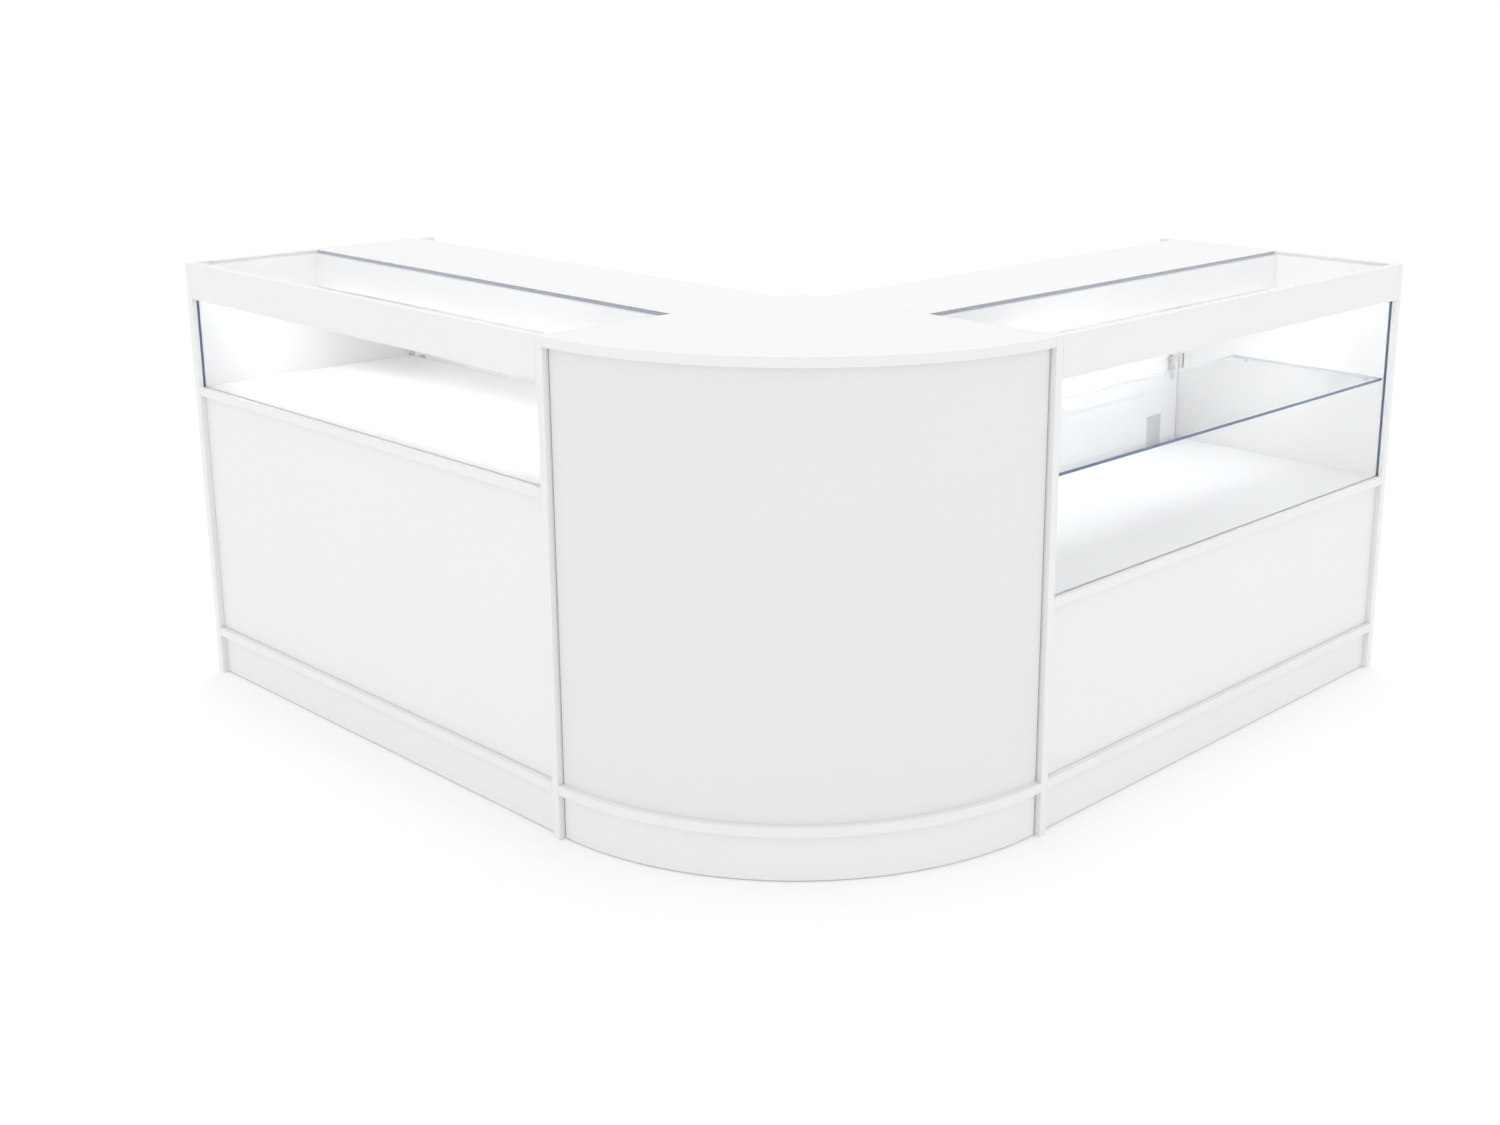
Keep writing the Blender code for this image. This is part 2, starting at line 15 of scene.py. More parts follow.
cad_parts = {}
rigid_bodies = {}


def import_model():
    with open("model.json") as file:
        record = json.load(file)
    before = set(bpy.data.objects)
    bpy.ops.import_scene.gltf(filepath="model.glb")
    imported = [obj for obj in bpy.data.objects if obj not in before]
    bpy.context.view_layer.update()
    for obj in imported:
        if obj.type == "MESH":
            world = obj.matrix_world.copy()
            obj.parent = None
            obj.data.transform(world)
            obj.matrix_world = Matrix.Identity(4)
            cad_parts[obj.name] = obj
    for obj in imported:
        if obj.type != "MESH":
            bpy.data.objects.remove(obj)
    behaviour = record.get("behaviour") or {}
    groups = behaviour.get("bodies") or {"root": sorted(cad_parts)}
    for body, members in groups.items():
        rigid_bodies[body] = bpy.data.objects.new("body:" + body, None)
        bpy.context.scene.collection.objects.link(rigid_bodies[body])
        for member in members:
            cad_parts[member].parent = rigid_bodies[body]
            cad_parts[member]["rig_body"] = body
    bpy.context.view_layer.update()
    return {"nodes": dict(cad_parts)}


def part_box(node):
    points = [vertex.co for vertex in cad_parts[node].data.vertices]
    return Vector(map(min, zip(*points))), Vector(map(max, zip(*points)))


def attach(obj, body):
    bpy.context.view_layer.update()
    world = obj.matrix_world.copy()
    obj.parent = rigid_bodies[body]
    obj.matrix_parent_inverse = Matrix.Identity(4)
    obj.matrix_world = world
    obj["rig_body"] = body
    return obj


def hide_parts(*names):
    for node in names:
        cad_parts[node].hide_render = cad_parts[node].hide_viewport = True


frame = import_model()

# Meshes: merging, and how near a normal or a direction comes to an axis that it lies along
WELD = 0.00001
FLAT_ANGLE = math.radians(1)
ALIGNED = 0.99
PARALLEL = 0.999

# Edges: rounding radii, how far in from a board's side its banding shows, and the angles from which
# an edge is rounded or shaded sharp
BAND_RADIUS = 0.0010
BAND_STEPS = 3
BAND_REACH = 1.05 * BAND_RADIUS
METAL_RADIUS = 0.0003
METAL_STEPS = 2
GLASS_SEAM = 0.0007
CORNER_ANGLE = math.radians(30)
SHARP_ANGLE = math.radians(38)

# Steps of a quarter circle of the corner unit, of a full turn, and of a half round
ARC_STEPS = 180
ROUND_STEPS = 64
HALF_STEPS = 24

# The boards of a wing, apart from its doors
WING_BOARDS = (
    "inner_gable",
    "outer_gable",
    "base_board",
    "front_plinth",
    "rear_plinth",
    "front_panel",
    "display_deck",
    "fascia",
    "worktop",
    "centre_rail",
)

# Gap between touching solids, as in the CAD
GAP = 0.0003

# Corner unit, as in the CAD, apart from the hair's gap over which the curved panel stands on its ledge
BOARD = 0.018
PANEL_SET_BACK = 0.012
PANEL = 0.006
PANEL_SEAT = 0.00002
CURVED_PLINTH = 0.012
PANEL_END_GAP = 0.003
SIDE_PANEL_LENGTH = 0.575
FORMER_SET_BACK = 0.0185

# Light strip's lens: the steps of its bowed underside, and how much of its thickness the bow takes
LENS_STEPS = 10
LENS_BOW = 0.5

# Finger pulls: the lip around the hole in the door, the corners of the body in it, and the pocket.
# PULL_CURVE is the point of the pocket's fillet between its ends, as a share of the fillet
PULL_LIP = 0.003
PULL_LIP_THICKNESS = 0.0012
PULL_LIP_RADIUS = 0.006
PULL_CORNER = 0.0008
PULL_POCKET_RADIUS = 0.007
PULL_WALL = 0.0018
PULL_DRAFT = 0.0030
PULL_FLOOR = 0.0015
PULL_FILLET = 0.0025
PULL_CURVE = 0.3

# Lock sleeve: radii, the share of the flange's thickness that is straight, the width and height of
# its bevel, the width of its rounding in all, and the thread
LOCK_BORE = 0.0058
LOCK_BARREL = 0.0055
LOCK_SLEEVE = 0.0082
LOCK_EASE = 0.0003
FLANGE_STRAIGHT = 0.4
FLANGE_BEVEL = (0.0004, 0.0002)
FLANGE_LAND = 0.0012
THREAD_DEPTH = 0.0004
THREAD_PITCH = 0.0010
THREADS = 5

# Lock nut. NUT_RIM is its chamfer's radius as a share of the hexagon's inner radius
NUT_THICKNESS = 0.005
NUT_CHAMFER = 0.0006
NUT_RIM = 1.01
FITTING_GAP = 0.00005

# Key slot in the barrel: width, height and depth, and its corner radius as a share of the width
KEY_SLOT = (0.0014, 0.0070, 0.0030)
KEY_SLOT_ROUNDING = 0.45
KEY_SLOT_STEPS = 4

# Cam and its hexagon screw. A hexagon's size is across its flats
CAM_REACH = 0.047
CAM_WIDTH = 0.012
CAM_THICKNESS = 0.0025
CAM_CLEARANCE = 0.0001
CAM_CORNER_ANGLE = math.radians(50)
SCREW_HEAD = 0.0015
SCREW_HEXAGON = 0.0078
SCREW_FACE = 0.0034
SCREW_CHAMFER = 0.0004
SCREW_SOCKET = 0.0034
SCREW_SOCKET_DEPTH = 0.0008

# Shelf pins. The collar's two radii are shares of the pin's
PIN_CHAMFER = 0.0004
PIN_TIP_CHAMFER = 0.0005
PIN_COLLAR = 1.4
PIN_COLLAR_TOP = 1.3
PIN_COLLAR_RIM = 0.0006
PIN_COLLAR_THICKNESS = 0.0008
SLEEVE_INSIDE = 0.00003
SLEEVE_OUTSIDE = 0.0002
SLEEVE_INSET = 0.0012

# Connector bolts. The dome holds (share of the head's radius, height below the face) points
BOLT_SOCKET = 0.004
BOLT_SOCKET_DEPTH = 0.0018
BOLT_DOME = ((0.6, 0.0), (0.9, 0.0004), (1.0, 0.0013))
BOLT_HEAD_THICKNESS = 0.003
BOLT_RADIUS = 0.003

# Glass: what a face lets through, clean and dusty, how much it mirrors face on and at a slant,
# and the power of Schlick's rule between the two
GLASS_TINT = (0.990, 0.994, 0.997)
GLASS_DUSTY = (0.996, 0.998, 1.0)
GLASS_MIRROR = 0.07
GLASS_GRAZING = 0.70
GLASS_POWER = 5.0

# Metal: its colour, and how a noise is stretched so that its lines run along one axis
ALUMINIUM = (0.78, 0.79, 0.80)
ALONG_GRAIN = 0.02
ALONG_X = (ALONG_GRAIN, 1.0, 1.0)
ALONG_Y = (1.0, ALONG_GRAIN, 1.0)
ALONG_Z = (1.0, 1.0, ALONG_GRAIN)

# Studio: emission strengths, the floor's radius and steps, and each softbox's place, what it faces,
# its size and its power in watts
LENS_GLOW = 8.0
WORLD_GLOW = 1.0
FLOOR_GLOW = 0.07
FLOOR_RADIUS = 300.0
FLOOR_STEPS = 128
SOFTBOXES = {
    "left_softbox": ((-5.0, 0.5, 3.2), (-0.3, 0.3, 0.4), (3.0, 2.2), 5),
    "right_softbox": ((0.5, -5.0, 3.2), (0.3, -0.3, 0.4), (3.0, 2.2), 5),
    "overhead_softbox": ((0.2, 0.2, 4.5), (0.0, 0.0, 0.9), (3.5, 3.5), 20),
}

# Beam of each light strip: its distance from the lens, the share of the lens's length that shines,
# and for each wing its power in watts, how far across the deck it lands, and how wide it opens
BEAM_OFFSET = 0.004
BEAM_SHARE = 0.96
BEAM_POWER = {"left": 1.35, "right": 1.0}
BEAM_REACH = {"left": 0.45, "right": 1.0}
BEAM_SPREAD = {"left": math.radians(84), "right": math.radians(70)}

# Fill lamp at each case's near end
FILL_INSET = 0.01
FILL_HEIGHT = 0.04
FILL_SPREAD = math.radians(50)
FILL_POWER = {"left": 0.06, "right": 0.28}

# Camera: its yaw runs from +X towards +Y, and its pitch up from the horizon
CAMERA_PLACE = Vector((-2.718, -2.706, 1.447))
CAMERA_YAW = math.radians(43.57)
CAMERA_PITCH = math.radians(-14.75)
CAMERA_ROLL = math.radians(0.28)
CAMERA_LENS = 44.2
CAMERA_SHIFT = (-0.0598, -0.0567)
CAMERA_FAR = 1000


# ---------------------------------------------------------------- materials


class Shader:
    """A material's node tree, with short ways to add nodes and join them."""

    # where a Mix node keeps its two colours and their blend
    FIRST_COLOUR, SECOND_COLOUR, BLENDED_COLOUR = 6, 7, 2

    def __init__(self, name):
        self.material = bpy.data.materials.new(name)
        self.material.use_nodes = True
        self.tree = self.material.node_tree
        self.principled = self.tree.nodes["Principled BSDF"]
        self.output = self.tree.nodes["Material Output"]
        self.place = self.add("ShaderNodeTexCoord").outputs["Object"]

    def add(self, kind, **settings):
        node = self.tree.nodes.new(kind)
        for name, value in settings.items():
            setattr(node, name, value)
        return node

    def feed(self, socket, source):
        """Links source to socket, or sets the socket to it if it is a plain value."""
        if isinstance(source, bpy.types.NodeSocket):
            self.tree.links.new(source, socket)
        elif isinstance(source, tuple) and len(source) == 3 and socket.type == "RGBA":
            socket.default_value = (*source, 1.0)
        else:
            socket.default_value = source

    def noise(self, scale, detail=2.0, roughness=0.5, stretch=(1, 1, 1), seed=0.0):
        """The 0 to 1 factor of a noise whose features are about 1 / scale metres wide."""
        mapping = self.add("ShaderNodeMapping")
        self.feed(mapping.inputs["Vector"], self.place)
        mapping.inputs["Location"].default_value = (seed, seed / 2, -seed)
        mapping.inputs["Scale"].default_value = stretch
        node = self.add("ShaderNodeTexNoise")
        self.feed(node.inputs["Vector"], mapping.outputs["Vector"])
        node.inputs["Scale"].default_value = scale
        node.inputs["Detail"].default_value = detail
        node.inputs["Roughness"].default_value = roughness
        return node.outputs["Fac"]

    def spread(self, factor, low, high, start=0.3, end=0.7):
        """Maps a factor from start..end to low..high."""
        node = self.add("ShaderNodeMapRange")
        self.feed(node.inputs["Value"], factor)
        ends = {"From Min": start, "From Max": end, "To Min": low, "To Max": high}
        for name, value in ends.items():
            node.inputs[name].default_value = value
        return node.outputs["Result"]

    def blend(self, factor, first, second):
        node = self.add("ShaderNodeMix", data_type="RGBA")
        self.feed(node.inputs["Factor"], factor)
        self.feed(node.inputs[self.FIRST_COLOUR], first)
        self.feed(node.inputs[self.SECOND_COLOUR], second)
        return node.outputs[self.BLENDED_COLOUR]

    def total(self, first, second, share=1.0):
        """first + second * share."""
        node = self.add("ShaderNodeMath", operation="MULTIPLY_ADD")
        self.feed(node.inputs[0], second)
        node.inputs[1].default_value = share
        self.feed(node.inputs[2], first)
        return node.outputs["Value"]

    def bump(self, height, strength, distance):
        node = self.add("ShaderNodeBump")
        node.inputs["Strength"].default_value = strength
        node.inputs["Distance"].default_value = distance
        self.feed(node.inputs["Height"], height)
        self.feed(self.principled.inputs["Normal"], node.outputs["Normal"])

    def set(self, **values):
        """Sets the principled shader's sockets; an underscore stands for a space."""
        for name, value in values.items():
            self.feed(self.principled.inputs[name.replace("_", " ")], value)
        return self


def make_board_material(name, colour, tint, roughness, pearl=1.0, seed=0.0):
    """Melamine or laminate: a faint cloudiness, a pearl grain, and a sheen that varies a little."""
    shader = Shader(name)
    clouds = shader.noise(2.2, detail=3.0, seed=seed)
    grain = shader.noise(650.0, detail=1.0, seed=seed)
    tone = shader.total(clouds, grain, share=0.35)
    shade = shader.spread(tone, 0.0, 1.0, start=0.2, end=1.15)
    shader.set(Base_Color=shader.blend(shade, colour, tint))
    rubbed = shader.noise(9.0, detail=2.0, seed=seed + 3.0)
    sheen = shader.spread(rubbed, roughness - 0.07, roughness + 0.07, start=0.0, end=1.0)
    shader.set(Roughness=sheen)
    shader.set(IOR=1.48)
    pearl_height = shader.noise(420.0, detail=2.0, seed=seed)
    waves = shader.noise(14.0, detail=1.0, seed=seed + 7.0)
    shader.bump(shader.total(pearl_height, waves, share=3.0), 0.35, 0.00012 * pearl)
    return shader.material


def make_cut_material():
    """The sides of slots and holes routed in a board: sealed particle board."""
    shader = Shader("routed_board")
    chips = shader.noise(380.0, detail=4.0, roughness=0.7)
    colour = shader.blend(shader.spread(chips, 0.0, 1.0), (0.76, 0.74, 0.71), (0.84, 0.83, 0.81))
    shader.set(Base_Color=colour, Roughness=shader.spread(chips, 0.70, 0.90))
    shader.bump(chips, 0.6, 0.0004)
    return shader.material


def make_pane_material():
    """A pane's outer broad face: slightly blue, see-through, and a mirror at a slant.

    The mirror grows by Schlick's rule on Facing, which is the same seen from either side.
    This face mirrors for the inner one too, because nothing here bends the light between them.
    """
    shader = Shader("clear_pane")
    shader.tree.nodes.remove(shader.principled)
    body = shader.add("ShaderNodeBsdfTransparent")
    shader.feed(body.inputs["Color"], GLASS_TINT)
    mirror = shader.add("ShaderNodeBsdfGlossy")
    shader.feed(mirror.inputs["Color"], (1.0, 1.0, 1.0))
    smears = shader.noise(7.0, detail=5.0, roughness=0.65)
    smeared = shader.spread(smears, 0.004, 0.05, start=0.45, end=0.75)
    shader.feed(mirror.inputs["Roughness"], smeared)
    facing = shader.add("ShaderNodeLayerWeight")
    facing.inputs["Blend"].default_value = 0.5
    steep = shader.add("ShaderNodeMath", operation="POWER")
    shader.feed(steep.inputs[0], facing.outputs["Facing"])
    steep.inputs[1].default_value = GLASS_POWER
    slant = steep.outputs["Value"]
    share = shader.spread(slant, GLASS_MIRROR, GLASS_GRAZING, start=0.0, end=1.0)
    mix = shader.add("ShaderNodeMixShader")
    shader.feed(mix.inputs["Fac"], share)
    shader.feed(mix.inputs[1], body.outputs["BSDF"])
    shader.feed(mix.inputs[2], mirror.outputs["BSDF"])
    shader.feed(shader.output.inputs["Surface"], mix.outputs["Shader"])
    return shader.material


def make_pane_inside_material():
    """A pane's inner broad face: slightly blue and see-through, with a trace of dust."""
    shader = Shader("clear_pane_inside")
    shader.tree.nodes.remove(shader.principled)
    dust = shader.spread(shader.noise(90.0, detail=3.0), 0.0, 1.0)
    body = shader.add("ShaderNodeBsdfTransparent")
    shader.feed(body.inputs["Color"], shader.blend(dust, GLASS_TINT, GLASS_DUSTY))
    shader.feed(shader.output.inputs["Surface"], body.outputs["BSDF"])
    return shader.material


def make_pane_edge_material():
    """The ground and polished edge of a pane: dark blue, partly the glass's own colour gathering along
    it, partly painted shade of the dark slot and gap beside it.
    """
    shader = Shader("pane_edge")
    depth = shader.spread(shader.noise(30.0, detail=2.0), 0.0, 1.0)
    # dark blue: the glass's own edge colour, deepened with painted shade of the slot beside it
    colour = shader.blend(depth, (0.012, 0.058, 0.170), (0.030, 0.098, 0.230))
    shader.set(Base_Color=colour, Coat_Weight=0.6, Coat_Roughness=0.06)
    shader.set(Roughness=shader.spread(shader.noise(300.0), 0.16, 0.28))
    shader.bump(shader.noise(500.0), 0.15, 0.0001)
    return shader.material


def make_ground_edge_material():
    """The other edges of a pane, ground matt and pale, which let part of the light through."""
    shader = Shader("ground_edge")
    grain = shader.noise(700.0, detail=2.0)
    colour = shader.blend(shader.spread(grain, 0.0, 1.0), (0.56, 0.60, 0.63), (0.66, 0.70, 0.73))
    shader.set(Base_Color=colour, Roughness=shader.spread(grain, 0.45, 0.60), Alpha=0.45)
    shader.bump(grain, 0.3, 0.0001)
    return shader.material


def make_metal_material(name, colour, roughness, stretch, grain=500.0, depth=0.00006):
    """Metal with drawn or brushed lines along the axis whose stretch is smallest."""
    shader = Shader(name)
    lines = shader.noise(grain, detail=3.0, roughness=0.6, stretch=stretch)
    dark = tuple(channel * 0.90 for channel in colour)
    shader.set(Base_Color=shader.blend(shader.spread(lines, 0.0, 1.0), dark, colour), Metallic=1.0)
    shader.set(Roughness=shader.spread(lines, roughness - 0.05, roughness + 0.07))
    shader.bump(lines, 0.3, depth)
    return shader.material


def make_plastic_material(name, colour, roughness):
    """Moulded plastic with a fine spark-eroded grain."""
    shader = Shader(name)
    grain = shader.noise(900.0, detail=2.0)
    tone = shader.noise(25.0, detail=2.0, seed=2.0)
    light = tuple(min(1.0, channel * 1.08) for channel in colour)
    shader.set(Base_Color=shader.blend(shader.spread(tone, 0.0, 1.0), colour, light))
    shader.set(Roughness=shader.spread(grain, roughness - 0.06, roughness + 0.06))
    shader.bump(grain, 0.35, 0.00010)
    return shader.material


def make_diffuser_material():
    """The opal lens of the light strip, lit from behind."""
    shader = Shader("opal_lens")
    milk = shader.noise(60.0, detail=1.0)
    cloud = shader.spread(milk, 0.0, 1.0)
    shader.set(Base_Color=shader.blend(cloud, (0.90, 0.94, 0.97), (0.96, 0.98, 1.0)))
    shader.set(Roughness=shader.spread(milk, 0.30, 0.42))
    shader.set(Emission_Color=(0.90, 0.96, 1.0), Emission_Strength=LENS_GLOW)
    return shader.material


MATERIALS = {
    "melamine": make_board_material(
        "white_melamine", (0.825, 0.825, 0.822), (0.848, 0.848, 0.846), 0.40
    ),
    "band": make_board_material(
        "edge_band", (0.825, 0.825, 0.824), (0.842, 0.842, 0.840), 0.38, pearl=0.5, seed=11.0
    ),
    "laminate": make_board_material(
        "curved_laminate", (0.778, 0.778, 0.778), (0.797, 0.797, 0.797), 0.44, pearl=0.8, seed=23.0
    ),
    # The doors' melamine is a lighter, bluer copy of the white melamine: painted light that brightens
    # the inside of the case
    "door": make_board_material(
        "door_melamine", (0.850, 0.853, 0.857), (0.870, 0.873, 0.877), 0.38, seed=37.0
    ),
    "cut": make_cut_material(),
    "pane": make_pane_material(),
    "pane_inside": make_pane_inside_material(),
    "pane_edge": make_pane_edge_material(),
    "ground_edge": make_ground_edge_material(),
    "aluminium_x": make_metal_material("aluminium_along_x", ALUMINIUM, 0.30, ALONG_X),
    "aluminium_y": make_metal_material("aluminium_along_y", ALUMINIUM, 0.30, ALONG_Y),
    "chrome": make_metal_material(
        "nickel_plate", (0.74, 0.74, 0.75), 0.13, ALONG_Z, grain=220.0, depth=0.00002
    ),
    "steel": make_metal_material("zinc_plate", (0.60, 0.60, 0.61), 0.34, ALONG_Z, grain=260.0),
    # the pulls' mid grey is painted shade of their pockets
    "plastic": make_plastic_material("grey_plastic", (0.50, 0.53, 0.56), 0.42),
    "opal": make_diffuser_material(),
    "sleeve": make_plastic_material("clear_sleeve", (0.80, 0.82, 0.84), 0.35),
}


# ---------------------------------------------------------------- places and pieces


class Wing:
    """One display wing's own coordinates, read from the frame."""

    def __init__(self, name):
        self.name = name
        self.along, self.across = (1, 0) if name == "left" else (0, 1)
        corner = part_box(f"{name}_inner_gable")[0]
        self.joint = corner[self.along]
        self.face = corner[self.across]
        self.metal = ("aluminium_x", "aluminium_y")[self.along]

    def place(self, length, depth, height):
        """The point in the frame of a point in the wing's coordinates."""
        point = Vector((0.0, 0.0, height))
        point[self.along] = self.joint + length
        point[self.across] = self.face + depth
        return point

    def box(self, node):
        """The length, depth and height spans of one of this wing's CAD nodes."""
        low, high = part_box(f"{self.name}_{node}")
        lengths = (low[self.along] - self.joint, high[self.along] - self.joint)
        depths = (low[self.across] - self.face, high[self.across] - self.face)
        return lengths, depths, (low.z, high.z)


WINGS = [Wing("left"), Wing("right")]
CENTRE = Vector((WINGS[1].joint, WINGS[0].joint, 0.0))


def corner_place(u, v, height):
    """The corner unit's coordinates: u and v run from its square corner towards the customers."""
    return Vector((CENTRE.x - u, CENTRE.y - v, height))


def middle(span):
    """Half way along a span."""
    return (span[0] + span[1]) / 2


def make_piece(bm, name, materials, nodes=(), body=None, place=None):
    """Turns a bmesh into a piece that rides on a body and stands for the CAD nodes given."""
    if place is not None:
        for vertex in bm.verts:
            vertex.co = place(*vertex.co)
    bmesh.ops.recalc_face_normals(bm, faces=bm.faces)
    mesh = bpy.data.meshes.new(name)
    bm.to_mesh(mesh)
    bm.free()
    mesh.shade_smooth()
    mesh.set_sharp_from_angle(angle=SHARP_ANGLE)
    for key in materials:
        mesh.materials.append(MATERIALS[key])
    piece = bpy.data.objects.new(name, mesh)
    bpy.context.scene.collection.objects.link(piece)
    weighted = piece.modifiers.new("weighted_normals", "WEIGHTED_NORMAL")
    weighted.keep_sharp = True
    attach(piece, body or frame["nodes"][nodes[0]]["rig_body"])
    if nodes:
        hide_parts(*nodes)
    return piece


def mesh_of(node):
    """A CAD node's shape, welded, with each flat face whole."""
    source = frame["nodes"][node].data
    bm = bmesh.new()
    corners = [bm.verts.new(vertex.co) for vertex in source.vertices]
    for polygon in source.polygons:
        bm.faces.new([corners[index] for index in polygon.vertices])
    bmesh.ops.remove_doubles(bm, verts=bm.verts, dist=WELD)
    bmesh.ops.dissolve_limit(bm, angle_limit=FLAT_ANGLE, verts=bm.verts, edges=bm.edges)
    return bm


def round_edges(bm, edges, radius, steps):
    """Rounds edges to a radius, or chamfers them where steps is 1."""
    bmesh.ops.bevel(
        bm,
        geom=edges,
        offset=radius,
        offset_type="OFFSET",
        segments=steps,
        profile=0.5,
        affect="EDGES",
        clamp_overlap=True,
    )


def near(value, wanted, margin=2 * WELD):
    """Whether a value is the wanted one, within the rounding of 32-bit meshes."""
    return abs(value - wanted) < margin


# ---------------------------------------------------------------- boards


def outline_edges(bm, low, high):
    """The edges that lie on the twelve edges of the board's box."""

    def on_side(edge, axis):
        sides = (low[axis], high[axis])
        return any(all(near(v.co[axis], side) for v in edge.verts) for side in sides)

    return [edge for edge in bm.edges if sum(on_side(edge, axis) for axis in range(3)) == 2]


def add_board(node, face="melamine"):
    """A board with banded, rounded edges, which keeps the slots and holes cut in the CAD node."""
    low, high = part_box(node)
    bm = mesh_of(node)
    round_edges(bm, outline_edges(bm, low, high), BAND_RADIUS, BAND_STEPS)
    thin = min(range(3), key=lambda axis: high[axis] - low[axis])
    for polygon in bm.faces:
        centre = polygon.calc_center_median()
        on_face = near(centre[thin], low[thin]) or near(centre[thin], high[thin])
        by_edge = any(
            near(centre[axis], side[axis], BAND_REACH)
            for axis in range(3)
            for side in (low, high)
            if axis != thin
        )
        if on_face and abs(polygon.normal[thin]) > ALIGNED:
            polygon.material_index = 0
        else:
            polygon.material_index = 1 if by_edge else 2
    return make_piece(bm, f"{node}_board", (face, "band", "cut"), [node])


def add_wing_boards(wing):
    for part in WING_BOARDS:
        add_board(f"{wing.name}_{part}")
    for part in ("outer_door", "inner_door"):
        # the doors take the lighter, bluer melamine, whose lift is painted light
        add_board(f"{wing.name}_{part}", "door")


# ---------------------------------------------------------------- corner unit


def arc(radius, end_gap):
    """A quarter circle that stops short of both straight sides by end_gap."""
    start = math.asin(end_gap / radius)
    sweep = math.pi / 2 - 2 * start
    turns = [start + sweep * step / ARC_STEPS for step in range(ARC_STEPS + 1)]
    return [(radius * math.cos(turn), radius * math.sin(turn)) for turn in turns]


def prism(outline, heights, radius, square_foot):
    """An upright prism with rounded rims and corners, its ends on material 0 and its sides on 1.

    square_foot leaves the lower rim square.
    """
    bm = bmesh.new()
    bottom = [bm.verts.new((*point, heights[0])) for point in outline]
    top = [bm.verts.new((*point, heights[1])) for point in outline]
    bm.faces.new(bottom)
    bm.faces.new(top)
    count = len(outline)
    for index in range(count):
        following = (index + 1) % count
        bm.faces.new((bottom[index], bottom[following], top[following], top[index]))
    bmesh.ops.recalc_face_normals(bm, faces=bm.faces)
    sharp = [edge for edge in bm.edges if edge.calc_face_angle() > CORNER_ANGLE]
    if square_foot:
        feet = set(bottom)
        sharp = [edge for edge in sharp if not feet.issuperset(edge.verts)]
    round_edges(bm, sharp, radius, BAND_STEPS)
    bm.normal_update()
    for polygon in bm.faces:
        polygon.material_index = 0 if abs(polygon.normal.z) > ALIGNED else 1
    return bm


def add_corner_prism(node, outline, radius, materials, foot=None):
    """A board of the corner unit. foot is the height that a square lower edge stands on."""
    low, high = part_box(node)
    bottom = low.z if foot is None else foot
    bm = prism(outline, (bottom, high.z), radius, foot is not None)
    return make_piece(bm, f"{node}_board", materials, [node], place=corner_place)


def add_corner_boards(radius):
    """The flat boards: the top, the base board with an ear past each side panel, and the former."""
    inset = BOARD + 2 * GAP
    ear = SIDE_PANEL_LENGTH + 2 * GAP
    left_ear = [(inset, inset), (ear, inset), (ear, GAP)]
    right_ear = [(GAP, ear), (inset, ear)]
    outlines = {
        "corner_top": [(GAP, GAP), *arc(radius, GAP)],
        "corner_base_board": [*left_ear, *arc(radius, GAP), *right_ear],
        "corner_former": [(inset, inset), *arc(radius - FORMER_SET_BACK, inset)],
    }
    for node, outline in outlines.items():
        add_corner_prism(node, outline, BAND_RADIUS, ("melamine", "band"))


def add_curved_skin(radius):
    """The curved panel, which stands square on the base board's ledge, and the curved plinth."""
    outer = radius - PANEL_SET_BACK
    outside = arc(outer, PANEL_END_GAP)
    ease = BAND_RADIUS / 2

    panel = outside + arc(outer - PANEL, PANEL_END_GAP)[::-1]
    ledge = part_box("corner_base_board")[1].z + PANEL_SEAT
    add_corner_prism("corner_curved_panel", panel, ease, ("cut", "laminate"), ledge)

    plinth = outside + arc(outer - CURVED_PLINTH, PANEL_END_GAP)[::-1]
    add_corner_prism("corner_curved_plinth", plinth, ease, ("cut", "band"))


def add_corner_unit():
    radius = CENTRE.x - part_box("corner_top")[0].x
    add_corner_boards(radius)
    add_curved_skin(radius)
    add_board("corner_left_side")
    add_board("corner_right_side")


# ---------------------------------------------------------------- glass


def add_pane(node, polished):
    """A pane with seamed edges, whose outer face looks up or towards the customers.

    polished holds the axis and the side, 0 or 1, of its polished edge, which takes the dark edge
    colour with its painted shade.
    """
    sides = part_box(node)
    bm = mesh_of(node)
    round_edges(bm, bm.edges[:], GLASS_SEAM, 1)
    thin = min(range(3), key=lambda axis: sides[1][axis] - sides[0][axis])
    outside = sides[1 if thin == 2 else 0][thin]
    axis, side = polished
    for polygon in bm.faces:
        centre = polygon.calc_center_median()
        if abs(polygon.normal[thin]) > ALIGNED:
            polygon.material_index = 0 if near(centre[thin], outside) else 1
        else:
            # the polished edge's dark colour carries painted shade
            polygon.material_index = 2 if near(centre[axis], sides[side][axis], GLASS_SEAM) else 3
    materials = ("pane", "pane_inside", "pane_edge", "ground_edge")
    return make_piece(bm, f"{node}_pane", materials, [node])


def add_glass():
    for wing in WINGS:
        add_pane(f"{wing.name}_front_glass", (wing.along, 1))
        add_pane(f"{wing.name}_top_glass", (wing.across, 1))
    add_pane("right_glass_shelf", (1, 0))


# ---------------------------------------------------------------- turned and lofted shapes


def add_turned(bm, profile, place, material=0, closed=False):
    """Adds a turned shape from a profile of (radius, along) points.

    A radius may be a function of the turn, and a closed profile ends where it starts.
    """
    turns = [2 * math.pi * step / ROUND_STEPS for step in range(ROUND_STEPS)]
    rings = []
    for radius, along in profile:
        if radius == 0:
            rings.append([bm.verts.new(place(along, 0, 0))])
            continue
        sizes = [radius(turn) if callable(radius) else radius for turn in turns]
        points = [(size * math.cos(turn), size * math.sin(turn)) for size, turn in zip(sizes, turns)]
        rings.append([bm.verts.new(place(along, *point)) for point in points])
    if closed:
        rings.append(rings[0])
    join_rings(bm, rings, material)


